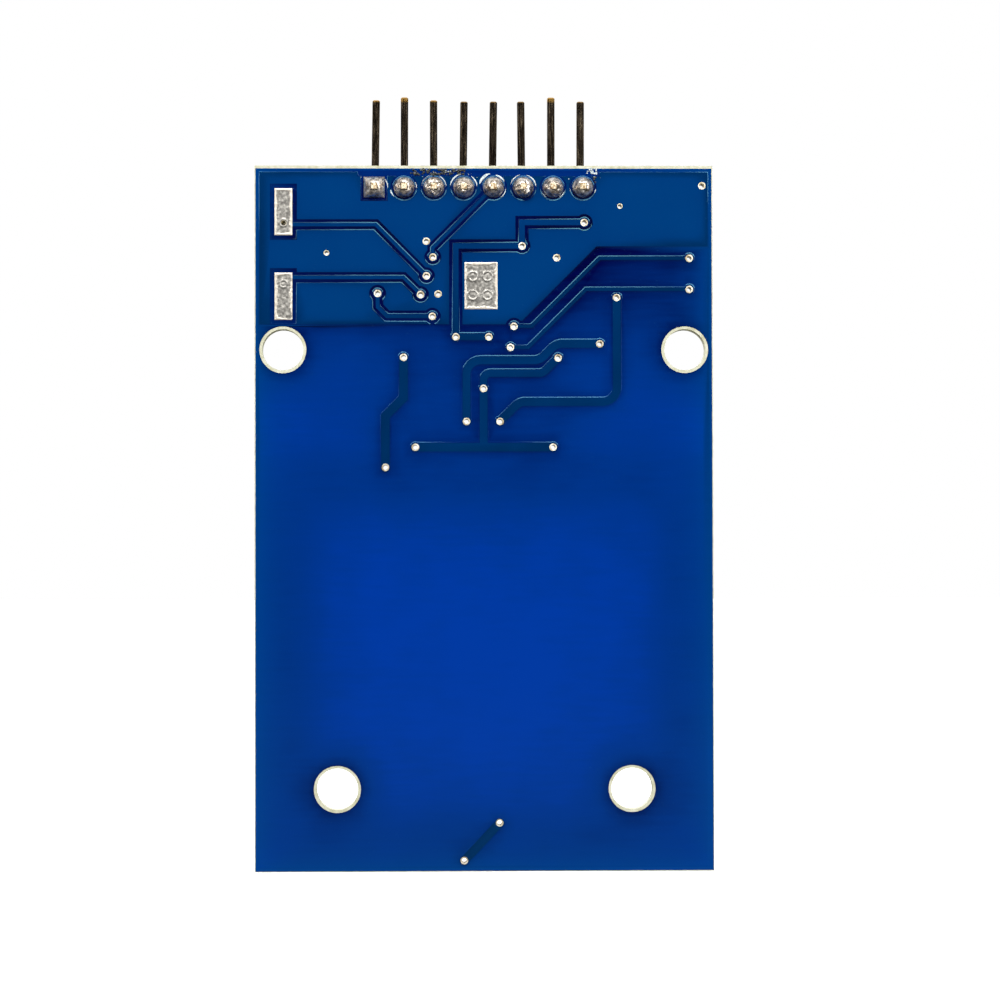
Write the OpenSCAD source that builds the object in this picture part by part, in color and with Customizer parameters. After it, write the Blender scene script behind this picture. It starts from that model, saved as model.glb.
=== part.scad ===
// Contactless-card reader board: a two-layer printed circuit board with a printed antenna coil,
// a right-angle row of eight header pins, and a small radio circuit on its component side.
//
// Frame: X to the right when the solder side is looked at, Y from the solder side to the component
// side, Z up towards the header pins. The origin is half way between the two mounting holes at the
// header end, on the rear face of the laminate. All sizes are in millimetres.

/* [Board] */
// Width of the board
board_w = 39; // [38:0.5:42]
// Length of the board, from the header edge to the antenna edge
board_l = 60; // [58:0.5:66]
// Thickness of the bare laminate
core_t = 1.5; // [0.8:0.1:2]
// Thickness of the copper foil
copper_t = 0.035; // [0.018:0.001:0.07]
// Thickness of the solder mask
mask_t = 0.025; // [0.015:0.005:0.04]
// Strip of bare laminate left between the mask and the board's edge
mask_pullback = 0.08; // [0.06:0.01:0.2]
// The same strip along the header edge
header_pullback = 0.24; // [0.1:0.02:0.4]

/* [Mounting holes] */
// Diameter of the mounting holes
mount_d = 3.5; // [3:0.1:3.6]
// Diameter of the opening in the mask around a mounting hole
mount_mask_d = 4; // [3.8:0.1:4]
// Spacing of the two holes at the header end
header_end_spacing = 34.2; // [33:0.1:34.4]
// Distance of those holes from the header edge
header_end_drop = 15.7; // [15.7:0.1:16]
// Spacing of the two holes at the antenna end
antenna_end_spacing = 25; // [22:0.5:26]
// Distance of those holes from the antenna edge
antenna_end_rise = 7; // [6.8:0.1:9]

/* [Pin header] */
// Width of the square pins
pin_w = 0.64; // [0.6:0.02:0.64]
// How far the pins reach past the header edge
pin_reach = 6.2; // [4:0.1:8]
// How far the pins stand out behind the laminate
pin_tail = 1.0; // [0.8:0.1:1.4]
// Height of the pins' axis above the component side
pin_rise = 3.45; // [3.3:0.05:4]
// Diameter of a solder joint's land
land_d = 1.8; // [1.7:0.05:1.8]

/* [Tracks and vias] */
// Clearance between a track and the copper pour
gap = 0.3; // [0.26:0.02:0.3]
// Gap between a pad on the component side and the edge of the mask around it
pad_relief = 0.1; // [0.06:0.01:0.1]
// Drilled diameter of a via
via_drill = 0.5; // [0.45:0.01:0.5]
// Open diameter of a plated via
via_bore = 0.42; // [0.35:0.01:0.42]
// Diameter of the bare ring around a via
via_ring = 0.64; // [0.6:0.01:0.7]
// Diameter of a via's copper land
via_land = 0.82; // [0.8:0.02:0.84]

/* [Antenna coil] */
// Width of the coil's track
coil_w = 0.7; // [0.5:0.05:0.75]
// Distance from one turn to the next
coil_pitch = 1.06; // [1:0.02:1.1]
// Distance of the outer turn's centre line from the board's edge
coil_edge = 0.95; // [0.8:0.05:1.1]
// Distance of the outer turn's top side from the header edge
coil_drop = 25; // [24.8:0.1:30]

/* [Hidden] */
$fn = 48;

// ---- places on the board: [distance right of the centre line, distance above the header edge] ----
pins = 8;
pitch = 2.54;
row_x = -0.45;          // the header's middle is a little left of the board's
row_v = -1.85;
function pin_x(i) = row_x + (i - (pins + 1) / 2) * pitch;
// each pin was bent a little to one side when the row was soldered
pin_lean = [0.9, 0.2, 0, 0.8, 0.9, -0.5, 0.1, 0.2];
// two pins were cut a little longer than the others
pin_extra = [0.1, 0.35, 0.1, 0, 0, 0, 0.35, 0];
land_drill = 1.1;
land_bore = 1.0;
joint_gap = gap - 0.05;         // clearance round a joint's land
crystal_gap = gap + 0.08;       // clearance round a crystal pad

header_end_holes = [for (s = [-1, 1]) [s * header_end_spacing / 2, -header_end_drop]];
antenna_end_holes = [for (s = [-1, 1]) [s * antenna_end_spacing / 2, antenna_end_rise - board_l]];

// vias at the ends of a track on the solder side
pour_vias = [
    [-4.35, -7.8], [-4.9, -9.4], [-5.4, -11], [-9.05, -10.9], [-4.4, -12.85],
    [3.25, -6.85], [8.55, -4.85], [2.55, -13.7]];
field_vias = [
    [-2.4, -14.6], [0.4, -14.6], [17.5, -7.9], [17.5, -10.55], [2.25, -15.5],
    [11.3, -11.25], [1.35, -21.8], [9.85, -15.2], [-1.5, -21.8], [6.3, -16.4],
    [-0.05, -19], [-6.85, -16.35], [-8.4, -25.7], [-5.85, -24], [5.85, -24]];
// vias that join the pour on both faces
ground_vias = [[18.6, -1.7], [-4.9, -6.45], [6.2, -7.85], [-3.9, -10.95]];
// ground vias that the mask nearly covers
tented_vias = [[11.6, -3.45], [-13.4, -7.45]];
tented_bore = 0.36;     // what the mask leaves open

crystal_x = -17.05;
crystal_v = -7.55;
crystal_pads = [[crystal_x, -3.95], [crystal_x, -11.15]];
crystal_pad = [1.5, 4];
crystal_vias = [[crystal_x, -4.9], [crystal_x, -10.1]];

chip_at = [-0.25, -10.25];
thermal_pad = [2.8, 4];
thermal_vias = [for (x = [-0.95, 0.3], v = [-9.45, -11.05]) [x, v]];
filled_vias = concat(thermal_vias, [crystal_vias[1]]);

// ---- heights across the board ----
mask_rise = copper_t + mask_t;
seat_y = core_t + mask_rise;    // what the parts on the component side stand on
tin_t = 0.02;

// ---- tracks: corners, then width ----
// a corner replaced by an arc of the given radius, or of less where a neighbouring stretch is short
function arc_corner(a, b, c, radius) =
    let (u = (a - b) / norm(a - b), w = (c - b) / norm(c - b),
         half = acos(u * w) / 2,
         r = min(radius, 0.45 * min(norm(a - b), norm(c - b)) * tan(half)),
         reach = r / tan(half),
         mid = (u + w) / norm(u + w),
         hub = b + mid * r / sin(half),
         start = b + u * reach - hub, stop = b + w * reach - hub,
         from = atan2(start.y, start.x),
         turn = ((atan2(stop.y, stop.x) - from + 540) % 360) - 180)
    [for (i = [0:6]) hub + r * [cos(from + turn * i / 6), sin(from + turn * i / 6)]];
function eased(route, r) = concat([route[0]],
    [for (i = [1:len(route) - 2]) each arc_corner(route[i - 1], route[i], route[i + 1], r)],
    [route[len(route) - 1]]);

function heading(a, b) = (b - a) / norm(b - a);
function left_of(d) = [-d.y, d.x];
// the edge of a track, a given distance to the left of its centre line
function edge_of(route, off) = let (last = len(route) - 1) [for (i = [0:last])
    let (before = heading(route[max(i - 1, 0)], route[max(i, 1)]),
         after = heading(route[min(i, last - 1)], route[min(i + 1, last)]),
         n1 = left_of(before), n2 = left_of(after))
    route[i] + off * (n1 + n2) / (1 + n1 * n2)];
function backwards(list) = [for (i = [len(list) - 1:-1:0]) list[i]];
module track(route, w) polygon(concat(edge_of(route, w / 2), backwards(edge_of(route, -w / 2))));

// ---- antenna coil: four turns, from the inner end out ----
coil_turns = 4;
function coil_in(k) = coil_edge + (coil_turns - 1 - k) * coil_pitch;
function coil_x(k) = board_w / 2 - coil_in(k);
function coil_low(k) = coil_in(k) - board_l;
function coil_high(k) = -coil_drop - (coil_turns - 1 - k) * coil_pitch;
coil_corner = 2.2;
coil_step_x = -1;       // where each turn steps out to the next
coil_feed = [[-2.6, -22.9], [2.6, -22.9]];
coil_bridge = [[1.25, coil_low(0)], [-1.75, coil_low(coil_turns - 1)]];
track_vias = concat(pour_vias, field_vias, coil_bridge);
open_vias = concat(track_vias, ground_vias, tented_vias, [crystal_vias[0]]);
inner_turns = concat(
    [coil_bridge[0]],
    [for (k = [0:coil_turns - 2]) each [
        [coil_x(k), coil_low(k)], [coil_x(k), coil_high(k)],
        [-coil_x(k), coil_high(k)], [-coil_x(k), coil_low(k)],
        [coil_step_x, coil_low(k)], [coil_step_x + coil_pitch, coil_low(k + 1)]]],
    let (k = coil_turns - 1) [[coil_x(k), coil_low(k)], [coil_x(k), coil_high(k)],
        [coil_feed[1].x, coil_high(k)], coil_feed[1]]);
outer_turn = let (k = coil_turns - 1) [
    coil_bridge[1], [-coil_x(k), coil_low(k)], [-coil_x(k), coil_high(k)],
    [coil_feed[0].x, coil_high(k)], coil_feed[0]];

// ---- tracks on the solder side: [corners, width] ----
pad_joint = [pin_x(5), row_v];
rear_tracks = [
    [[[crystal_x, -5.05], [-9.2, -5.05], [-4.9, -9.4]], 0.3],
    [[[crystal_x, -9.55], [-6.85, -9.55], [-5.4, -11]], 0.3],
    [[[-9.05, -10.9], [-9.05, -12.05], [-8.25, -12.85], [-4.4, -12.85]], 0.35],
    [[pad_joint, [-4.35, pad_joint.y - pad_joint.x - 4.35], [-4.35, -7.8]], 0.3],
    [[[-2.4, -14.6], [-2.4, -6.85], [3.25, -6.85], [3.25, -4.85], [8.55, -4.85]], 0.5],
    [[[-2.4, -14.6], [0.4, -14.6]], 0.6],
    [[[17.5, -7.9], [9.85, -7.9], [4.05, -13.7], [2.55, -13.7]], 0.3],
    [[[17.5, -10.55], [8.7, -10.55], [3.75, -15.5], [2.25, -15.5]], 0.3],
    [eased([[11.3, -11.25], [11.3, -20.15], [3, -20.15], [1.35, -21.8]], 1.2), 0.7],
    [eased([[9.85, -15.2], [6.15, -15.2], [4.75, -16.6], [-1.5, -16.6], [-1.5, -21.8]], 1.2), 0.7],
    [eased([[6.3, -16.4], [5, -17.7], [-0.05, -17.7], [-0.05, -19]], 0.8), 0.65],
    [[[-0.05, -19], [-0.05, -24]], 0.7],
    [[[-5.85, -24], [5.85, -24]], 0.75],
    [[[-6.85, -16.35], [-6.85, -19.8], [-8.4, -21.35], [-8.4, -25.7]], 0.75],
    [coil_bridge, 0.75]];
// how many of the tracks above run through the pour
rear_tracks_in_pour = 8;

// ---- parts on the component side: [place, true if it stands along Z] ----
chip_l = 1.6;
chip_w = 0.8;
chip_cap = 0.3;
capacitor_h = 0.8;
resistor_h = 0.45;
capacitors = [
    [[-13.1, -4.6], false], [[-13.1, -10.4], false], [[-7.2, -7.2], true], [[-7, -14.9], false],
    [[4.5, -9.3], true], [[13.8, -8.8], false], [[-1.5, -17.2], true], [[1.5, -17.2], true],
    [[-3.9, -20.6], false], [[3.9, -20.6], false], [[-4.6, -22.6], false], [[4.6, -22.6], false]];
resistors = [
    [[14.6, -5.4], false], [[8.6, -12.9], false], [[-7.3, -20.4], true], [[7.3, -20.4], true]];
inductors = [[-4.2, -17.9], [4.2, -17.9]];
inductor = [2.5, 2, 1.8];
inductor_cap = 0.45;
indicator_at = [14.6, -2.6];
indicator = [2, 1.25, 0.5];
indicator_cap = 0.4;
reader_chip = [5, 5, 0.85];
chip_leads = 8;
chip_lead_pitch = 0.5;
crystal_base = [4.7, 11.4, 0.8];
crystal_can = [4.1, 10.9, 3.1];

module at_front(p, along = false)
    translate([p.x, seat_y, p.y + header_end_drop]) rotate([-90, 0, 0]) rotate(along ? 90 : 0)
        children();
module at_rear(p, depth = 0)
    translate([p.x, -depth, p.y + header_end_drop]) rotate([90, 0, 0]) children();
// a flat layer, drawn as the solder side is seen, between two distances from the laminate's rear face
module layer(from, to)
    translate([0, to, header_end_drop]) rotate([90, 0, 0]) linear_extrude(to - from) children();
module block(size) translate([-size.x / 2, -size.y / 2, 0]) cube(size);
module box2d(at, size) translate(at) square(size, center = true);
module discs(places, d) for (p = places) translate(p) circle(d = d);
module outline() box2d([0, -board_l / 2], [board_w, board_l]);
module mask_outline() translate([mask_pullback - board_w / 2, mask_pullback - board_l])
    square([board_w - 2 * mask_pullback, board_l - mask_pullback - header_pullback]);

// ---- flat shapes of the two copper layers ----
module drills() {
    discs(concat(open_vias, filled_vias), via_drill);
    discs([for (i = [1:pins]) [pin_x(i), row_v]], land_drill);
}
// the first pin stands on a square land, the others on round ones
module joint_shapes(d) {
    box2d([pin_x(1), row_v], [d, d]);
    discs([for (i = [2:pins]) [pin_x(i), row_v]], d);
}
// the pour on the solder side stops short of the header row and steps up on the right
pour_side = board_w / 2 - 0.4;
pour_top = -0.55;
pour_low = -13.55;
module header_notch() box2d([row_x, 0], [20.6, 1.8]);
module rear_pour() difference() {
    polygon([[-pour_side, pour_top], [pour_side, pour_top], [pour_side, -6.9], [9.6, -6.9],
             [3.4, -13.1], [2.95, pour_low], [-pour_side, pour_low]]);
    header_notch();
}
module rear_copper_shape() {
    difference() {
        rear_pour();
        for (i = [0:rear_tracks_in_pour - 1])
            track(rear_tracks[i][0], rear_tracks[i][1] + 2 * gap);
        discs(pour_vias, via_land + 2 * gap);
        joint_shapes(land_d + 2 * joint_gap);
        for (p = crystal_pads) box2d(p, crystal_pad + [2, 2] * crystal_gap);
    }
    for (t = rear_tracks) track(t[0], t[1]);
    discs(concat(track_vias, ground_vias), via_land);
    joint_shapes(land_d);
    for (p = crystal_pads) box2d(p, crystal_pad);
}

// pads under the parts on the component side: [place, size]
function pair_pads(at, along, reach, pad) = [for (s = [-1, 1])
    along ? [at + [0, s * reach], [pad.y, pad.x]] : [at + [s * reach, 0], pad]];
chip_pad = [0.9, 0.95];
chip_pad_reach = 0.8;
chip_pads = [for (c = concat(capacitors, resistors)) each
    pair_pads(c[0], c[1], chip_pad_reach, chip_pad)];
inductor_pads = [for (p = inductors) each pair_pads(p, false, 1.1, [1, 2.1])];
indicator_pads = pair_pads(indicator_at, false, 0.95, [0.9, 1.3]);
part_pads = concat(chip_pads, inductor_pads, indicator_pads);
// the reader chip's leads, eight along each side
chip_lead = [0.8, 0.28];
chip_lead_reach = 2.6;
function lead_offset(i) = (i - (chip_leads - 1) / 2) * chip_lead_pitch;
chip_lead_pads = [for (i = [0:chip_leads - 1], s = [-1, 1]) each [
    [chip_at + [s * chip_lead_reach, lead_offset(i)], chip_lead],
    [chip_at + [lead_offset(i), s * chip_lead_reach], [chip_lead.y, chip_lead.x]]]];
chip_slug = 3.1;
chip_keepout = [7, 7];      // no pour round the chip's leads
chip_window = [6.4, 6.4];   // one opening in the mask for all of them

function joint_at(i) = [pin_x(i), row_v];
function flip(route) = [for (p = route) [-p.x, p.y]];
// from a header joint, straight down, aslant, and into one of the chip's upper leads
function fan(i, down, lead_x) = [joint_at(i), [pin_x(i), down],
    [lead_x, down - abs(lead_x - pin_x(i))], [lead_x, -7.65]];
front_pour_tracks = [
    [[[-2.85, -8.5], [-3.65, -8.5], [-4.35, -7.8]], 0.25],
    [[[-2.85, -9.5], [-4.9, -9.5]], 0.25],
    [[[-2.85, -10], [-4.4, -10], [-5.4, -11]], 0.25],
    [[[-2.85, -12], [-3.55, -12], [-4.4, -12.85]], 0.25],
    [[[-2, -12.85], [-2, -14.2], [-2.4, -14.6]], 0.25],
    [[[0, -12.85], [0, -14.2], [0.4, -14.6]], 0.25],
    [[[-1, -12.85], [-1, -14.6], [-3.2, -16.8], [-3.2, -17.9]], 0.3],
    [[[1, -12.85], [1, -13.7], [1.35, -14.05], [1.35, -15.6], [3.2, -17.45], [3.2, -17.9]], 0.25],
    [fan(2, -2.6, -2), 0.25], [fan(3, -4.4, -1.5), 0.25], [fan(4, -6.2, -1), 0.25],
    [fan(6, -4, 0.5), 0.25], [fan(7, -2.8, 1.5), 0.25],
    [[joint_at(1), [-9.05, -3.5], [-9.05, -10.9]], 0.4],
    [[joint_at(8), [8.55, -4.85]], 0.5],
    [[[crystal_x, -4.6], [-13.9, -4.6]], 0.4],
    [[[crystal_x, -10.4], [-13.9, -10.4]], 0.4],
    [[[13.8, -5.4], [13.65, -2.6]], 0.3],
    [[[17.5, -7.9], [17.5, -5.4], [15.4, -5.4]], 0.3],
    [[[17.5, -10.55], [16.3, -10.55], [14.6, -8.8]], 0.3],
    [[[11.3, -11.25], [11.3, -8.8], [13, -8.8]], 0.4],
    [[[9.85, -15.2], [9.4, -14.7], [9.4, -12.9]], 0.4]];
// the antenna's matching network is the same on both sides of the centre line
half_network = [
    [[[-5.3, -17.9], [-5.3, -20], [-4.7, -20.6]], 0.5],
    [[[-4.7, -20.6], [-5.4, -21.3], [-5.4, -22.6]], 0.5],
    [[[-7.3, -21.2], [-5.85, -22.65], [-5.85, -24]], 0.5],
    [[coil_feed[0], [-3.8, -22.9]], 0.6],
    [[[-3.1, -20.6], [-2.2, -20.6], [-1.45, -21.35], [-1.45, -21.8]], 0.4]];
front_field_tracks = concat(half_network, [for (t = half_network) [flip(t[0]), t[1]]], [
    [[[-1.5, -18], [-0.5, -19], [0.5, -19], [1.5, -18]], 0.5],
    [[[6.3, -16.4], [5.3, -17.4], [5.3, -17.9]], 0.5],
    [[[-6.85, -16.35], [-5.3, -17.9]], 0.5],
    [eased(inner_turns, coil_corner), coil_w],
    [eased(outer_turn, coil_corner), coil_w]]);

module pads2d(pads, more) for (p = pads) box2d(p[0], p[1] + [2, 2] * more);
crystal_pads2d = [for (p = crystal_pads) [p, crystal_pad]];
module front_pour() difference() {
    translate([-pour_side, pour_low]) square([2 * pour_side, pour_top - pour_low]);
    header_notch();
}
module front_copper_shape() {
    room = gap - 0.05;
    difference() {
        front_pour();
        for (t = front_pour_tracks) track(t[0], t[1] + 2 * room);
        discs(concat(pour_vias, field_vias), via_land + 2 * room);
        joint_shapes(land_d + 2 * joint_gap);
        pads2d(crystal_pads2d, crystal_gap);
        pads2d(part_pads, room);
        box2d(chip_at, chip_keepout);
    }
    for (t = concat(front_pour_tracks, front_field_tracks)) track(t[0], t[1]);
    discs(concat(track_vias, ground_vias, tented_vias, coil_feed), via_land);
    joint_shapes(land_d);
    pads2d(crystal_pads2d, 0);
    pads2d(concat(part_pads, chip_lead_pads, [[chip_at, [chip_slug, chip_slug]]]), 0);
}

// ---- openings in the two masks ----
module shared_openings() {
    discs(concat(header_end_holes, antenna_end_holes), mount_mask_d);
    discs(concat(track_vias, ground_vias), via_ring);
    discs(tented_vias, via_bore);
    joint_shapes(land_d);
    pads2d(crystal_pads2d, 0);
}
module rear_openings() {
    shared_openings();
    box2d(chip_at, thermal_pad);
}
module front_openings() {
    shared_openings();
    discs(coil_feed, via_ring);
    pads2d(part_pads, pad_relief);
    box2d(chip_at, chip_window);
}

// ================================ the board itself ================================
module drill(p, d) at_rear(p, -core_t - 1) cylinder(h = core_t + 2, d = d);

module laminate() color("khaki") difference() {
    layer(0, core_t) outline();
    for (p = concat(header_end_holes, antenna_end_holes)) drill(p, mount_d);
    for (p = concat(open_vias, filled_vias)) drill(p, via_drill);
    for (i = [1:pins]) drill(joint_at(i), land_drill);
}
module rear_copper() color("peru") layer(-copper_t, 0) difference() {
    rear_copper_shape();
    drills();
}
module front_copper() color("peru") layer(core_t, core_t + copper_t) difference() {
    front_copper_shape();
    drills();
}

// a plated barrel with a bare tinned ring on each face
module barrel(p, drilled, bore, ring) {
    rim = copper_t + tin_t;
    total = core_t + 2 * rim;
    at_rear(p, -core_t - rim) difference() {
        union() {
            cylinder(h = total, d = drilled);
            cylinder(h = tin_t, d = ring);
            translate([0, 0, total - tin_t]) cylinder(h = tin_t, d = ring);
        }
        if (bore > 0) translate([0, 0, -1]) cylinder(h = total + 2, d = bore);
    }
}
module plated_holes() color("silver") {
    for (p = concat(track_vias, ground_vias)) barrel(p, via_drill, via_bore, via_ring);
    for (p = tented_vias) barrel(p, via_drill, tented_bore, via_drill);
    for (i = [1:pins]) barrel(joint_at(i), land_drill, land_bore, land_drill + 0.2);
    for (p = thermal_vias) barrel(p, via_drill, 0, via_land);
    barrel(crystal_vias[0], via_drill, via_bore, via_ring);
    barrel(crystal_vias[1], via_drill, 0, via_ring);
}
// hot-air tinned faces of the bare pads on the solder side
module rear_tinning() color("gainsboro") layer(-copper_t - tin_t, -copper_t) difference() {
    union() {
        pads2d(crystal_pads2d, 0);
        box2d(chip_at, thermal_pad);
    }
    discs(thermal_vias, via_land);
    discs(crystal_vias, via_ring);
}

// each mask is one level sheet over its copper
module rear_solder_mask() color("mediumblue") layer(-mask_rise, -copper_t) difference() {
    mask_outline();
    rear_openings();
}
module front_solder_mask() color("mediumblue") layer(core_t + copper_t, seat_y) difference() {
    mask_outline();
    front_openings();
}

// ---- printed outlines on the component side ----
legend_t = 0.015;
legend_w = 0.15;
module frame2d(at, size) difference() {
    box2d(at, size + [2, 2] * legend_w);
    box2d(at, size);
}
module legend_shape() {
    for (c = concat(capacitors, resistors)) {
        around = [3, 1.45];
        frame2d(c[0], c[1] ? [around.y, around.x] : around);
    }
    for (p = inductors) frame2d(p, [3.8, 2.6]);
    frame2d(indicator_at, [3.2, 1.8]);
    box2d(indicator_at + [-2, 0], [0.3, 1.8]);
    // four corner marks round the reader chip, and a dot at its first lead
    difference() {
        frame2d(chip_at, [6.9, 6.9]);
        box2d(chip_at, [4.6, 9]);
        box2d(chip_at, [9, 4.6]);
    }
    translate(chip_at + [-3.95, 3.95]) circle(d = 0.5);
    frame2d([crystal_x, crystal_v], [4.3, 11.2]);
    // the header's outline, with a bar beside its first pin
    frame2d([row_x, row_v], [pins * pitch + 0.3, 2.25]);
    box2d([pin_x(1) - 2, row_v], [0.4, 2.2]);
}
module front_legend() color("white") layer(seat_y, seat_y + legend_t) difference() {
    legend_shape();
    front_openings();
    drills();
}

// ================================ the pin header ================================
header_seat = seat_y + legend_t;
pin_y = core_t + pin_rise;
bend_r = 0.75;          // radius of the pin's bend, at its axis
pin_taper = 0.12;       // length and depth of the chamfer at a pin's end
// a square bar along +Z with a chamfered end
module bar_side(length) {
    h = pin_w / 2;
    rotate([90, 0, 0]) linear_extrude(pin_w, center = true)
        polygon([[-h, 0], [h, 0], [h, length - pin_taper], [h - pin_taper, length],
                 [pin_taper - h, length], [-h, length - pin_taper]]);
}
module bar(length) intersection() {
    bar_side(length);
    rotate(90) bar_side(length);
}
module header_pin(i) color("dimgray") translate([pin_x(i), 0, row_v + header_end_drop]) {
    foot_y = pin_y - bend_r;
    translate([0, foot_y, 0]) rotate([90, 0, 0]) bar(foot_y + pin_tail);
    translate([0, foot_y, bend_r]) rotate([90, 0, 90]) rotate(-90) rotate_extrude(angle = 90)
        translate([bend_r - pin_w / 2, -pin_w / 2]) square(pin_w);
    translate([0, pin_y, bend_r - 0.03]) rotate([0, pin_lean[i - 1], 0])
        bar(pin_reach + pin_extra[i - 1] - row_v - bend_r + 0.03);
}
module header_body() color("#1c1c1e") difference() {
    cut = 0.45;
    at = [row_x, header_seat, row_v + header_end_drop];
    for (i = [1:pins]) translate([pin_x(i), at.y, at.z]) rotate([-90, 0, 0])
        linear_extrude(pitch) polygon([
            [-pitch / 2, -pitch / 2 + cut], [cut - pitch / 2, -pitch / 2],
            [pitch / 2 - cut, -pitch / 2], [pitch / 2, -pitch / 2 + cut],
            [pitch / 2, pitch / 2 - cut], [pitch / 2 - cut, pitch / 2],
            [cut - pitch / 2, pitch / 2], [-pitch / 2, pitch / 2 - cut]]);
    for (i = [1:pins]) translate([pin_x(i), at.y + pitch / 2, at.z])
        cube([pin_w, 2 * pitch, pin_w], center = true);
}

// a joint wets its land, climbs the pin and fills the plated hole
joint_h = 0.85;
module solder_joint(i) color("darkgray") difference() {
    union() {
        at_rear(joint_at(i), copper_t + tin_t) rotate_extrude() polygon([
            [0, 0], [land_d / 2, 0], [land_d / 2 - 0.02, 0.12], [0.8, 0.32], [0.68, 0.52],
            [0.52, 0.7], [0.38, joint_h], [0, joint_h]]);
        if (i == 1) at_rear(joint_at(i), copper_t + tin_t) block([land_d, land_d, 0.1]);
        at_rear(joint_at(i), -core_t - copper_t) cylinder(h = core_t + 2 * copper_t + 0.05, d = land_bore);
    }
    translate([pin_x(i), core_t / 2, row_v + header_end_drop])
        cube([pin_w, 3 * core_t, pin_w], center = true);
}

// ================================ parts on the component side ================================
stand_off = 0.03;       // solder film under every end cap
module reader_chip_body() color("#232326") at_front(chip_at) difference() {
    translate([0, 0, 0.02]) block(reader_chip);
    translate([-1.85, -1.85, reader_chip.z - 0.04]) cylinder(h = 1, d = 0.6);
    for (i = [0:chip_leads - 1], turn = [0, 90, 180, 270]) rotate(turn)
        translate([reader_chip.x / 2 - 0.4, lead_offset(i) - 0.125, -0.1]) cube([1, 0.25, 0.32]);
    translate([0, 0, -0.1]) block([chip_slug, chip_slug, 0.2]);
}
module reader_chip_terminals() color("lightgray") at_front(chip_at) {
    for (i = [0:chip_leads - 1], turn = [0, 90, 180, 270]) rotate(turn)
        translate([reader_chip.x / 2 - 0.4, lead_offset(i) - 0.125, 0]) cube([0.4, 0.25, 0.22]);
    block([chip_slug, chip_slug, 0.1]);
}

module stadium(size) {
    r = size.x / 2;
    box2d([0, 0], [size.x, size.y - size.x]);
    for (s = [-1, 1]) translate([0, s * (size.y / 2 - r)]) circle(r = r, $fn = 96);
}
crystal_at = [crystal_x, crystal_v];
crystal_lift = 0.1;
module crystal_base() color("#2b2b2e") at_front(crystal_at) translate([0, 0, crystal_lift])
    difference() {
        block(crystal_base);
        for (s = [-1, 1]) translate([0, s * 4.2, 0]) block([0.7, 3.4, 0.36]);
    }
module crystal_can() color("silver") at_front(crystal_at)
    translate([0, 0, crystal_lift + crystal_base.z]) {
        linear_extrude(0.35) stadium([crystal_can.x + 0.4, crystal_can.y + 0.4]);
        linear_extrude(crystal_can.z) stadium(crystal_can);
    }
module crystal_leads() color("lightgray") at_front(crystal_at) {
    lead = [0.6, 3.3, 0.1];
    for (s = [-1, 1]) translate([0, s * 4.15, stand_off]) {
        block(lead);
        translate([0, s * (0.3 - lead.y / 2), 0]) cylinder(h = 0.4, d = 0.45);
    }
}

module indicator_body() color("ivory") at_front(indicator_at)
    translate([0, 0, stand_off]) block([indicator.x - 2 * indicator_cap, indicator.y, indicator.z]);
module indicator_lens() color("lightyellow") at_front(indicator_at)
    translate([0, 0, stand_off + indicator.z]) {
        block([1.3, indicator.y, 0.1]);
        rotate([90, 0, 0]) linear_extrude(indicator.y, center = true)
            polygon([[-0.65, 0.1], [0.65, 0.1], [0.5, 0.4], [-0.5, 0.4]]);
    }
// a pair of metal end caps, a given distance apart over their outer faces
module cap_pair(length, w, h, cap) for (s = [-1, 1])
    translate([s * (length - cap) / 2, 0, stand_off]) block([cap, w, h]);
module indicator_terminals() color("gold") at_front(indicator_at)
    cap_pair(indicator.x, indicator.y, indicator.z, indicator_cap);

module inductor_core(n) color("#3a3532") at_front(inductors[n - 1]) translate([0, 0, stand_off])
    block([inductor.x - 2 * inductor_cap, inductor.y, inductor.z]);
module inductor_terminals() color("silver") for (p = inductors) at_front(p)
    cap_pair(inductor.x, inductor.y, inductor.z, inductor_cap);

module chip_middle(at, along, h) at_front(at, along)
    translate([0, 0, stand_off]) block([chip_l - 2 * chip_cap, chip_w, h]);
module capacitor(n) color("burlywood")
    chip_middle(capacitors[n - 1][0], capacitors[n - 1][1], capacitor_h);
module resistor(n) color("#202024")
    chip_middle(resistors[n - 1][0], resistors[n - 1][1], resistor_h);
module chip_end_caps() color("silver") {
    for (c = capacitors) at_front(c[0], c[1]) cap_pair(chip_l, chip_w, capacitor_h, chip_cap);
    for (c = resistors) at_front(c[0], c[1]) cap_pair(chip_l, chip_w, resistor_h, chip_cap);
}

// a fillet of solder at each end of a part, from its pad up its end cap
module fillet_pair(length, w, rise, foot) for (s = [0, 180]) rotate(s)
    translate([length / 2, 0, -mask_t]) rotate([90, 0, 0]) linear_extrude(w, center = true)
        polygon([[0, 0], [foot, 0], [foot, 0.03], [foot / 3, rise / 3], [0, rise]]);
module component_solder() color("gray") {
    for (c = capacitors) at_front(c[0], c[1]) fillet_pair(chip_l, chip_w, 0.55, 0.4);
    for (c = resistors) at_front(c[0], c[1]) fillet_pair(chip_l, chip_w, 0.35, 0.4);
    for (p = inductors) at_front(p) fillet_pair(inductor.x, inductor.y, 0.8, 0.3);
    at_front(indicator_at) fillet_pair(indicator.x, indicator.y, 0.4, 0.35);
    for (s = [-1, 1]) at_front([crystal_x, crystal_v + s * 3.6]) translate([0, 0, -mask_t])
        difference() {
            block([1.4, 3.9, mask_t + stand_off]);
            translate([0, 0, -1]) cylinder(h = 3, d = via_ring);
        }
}

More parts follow.
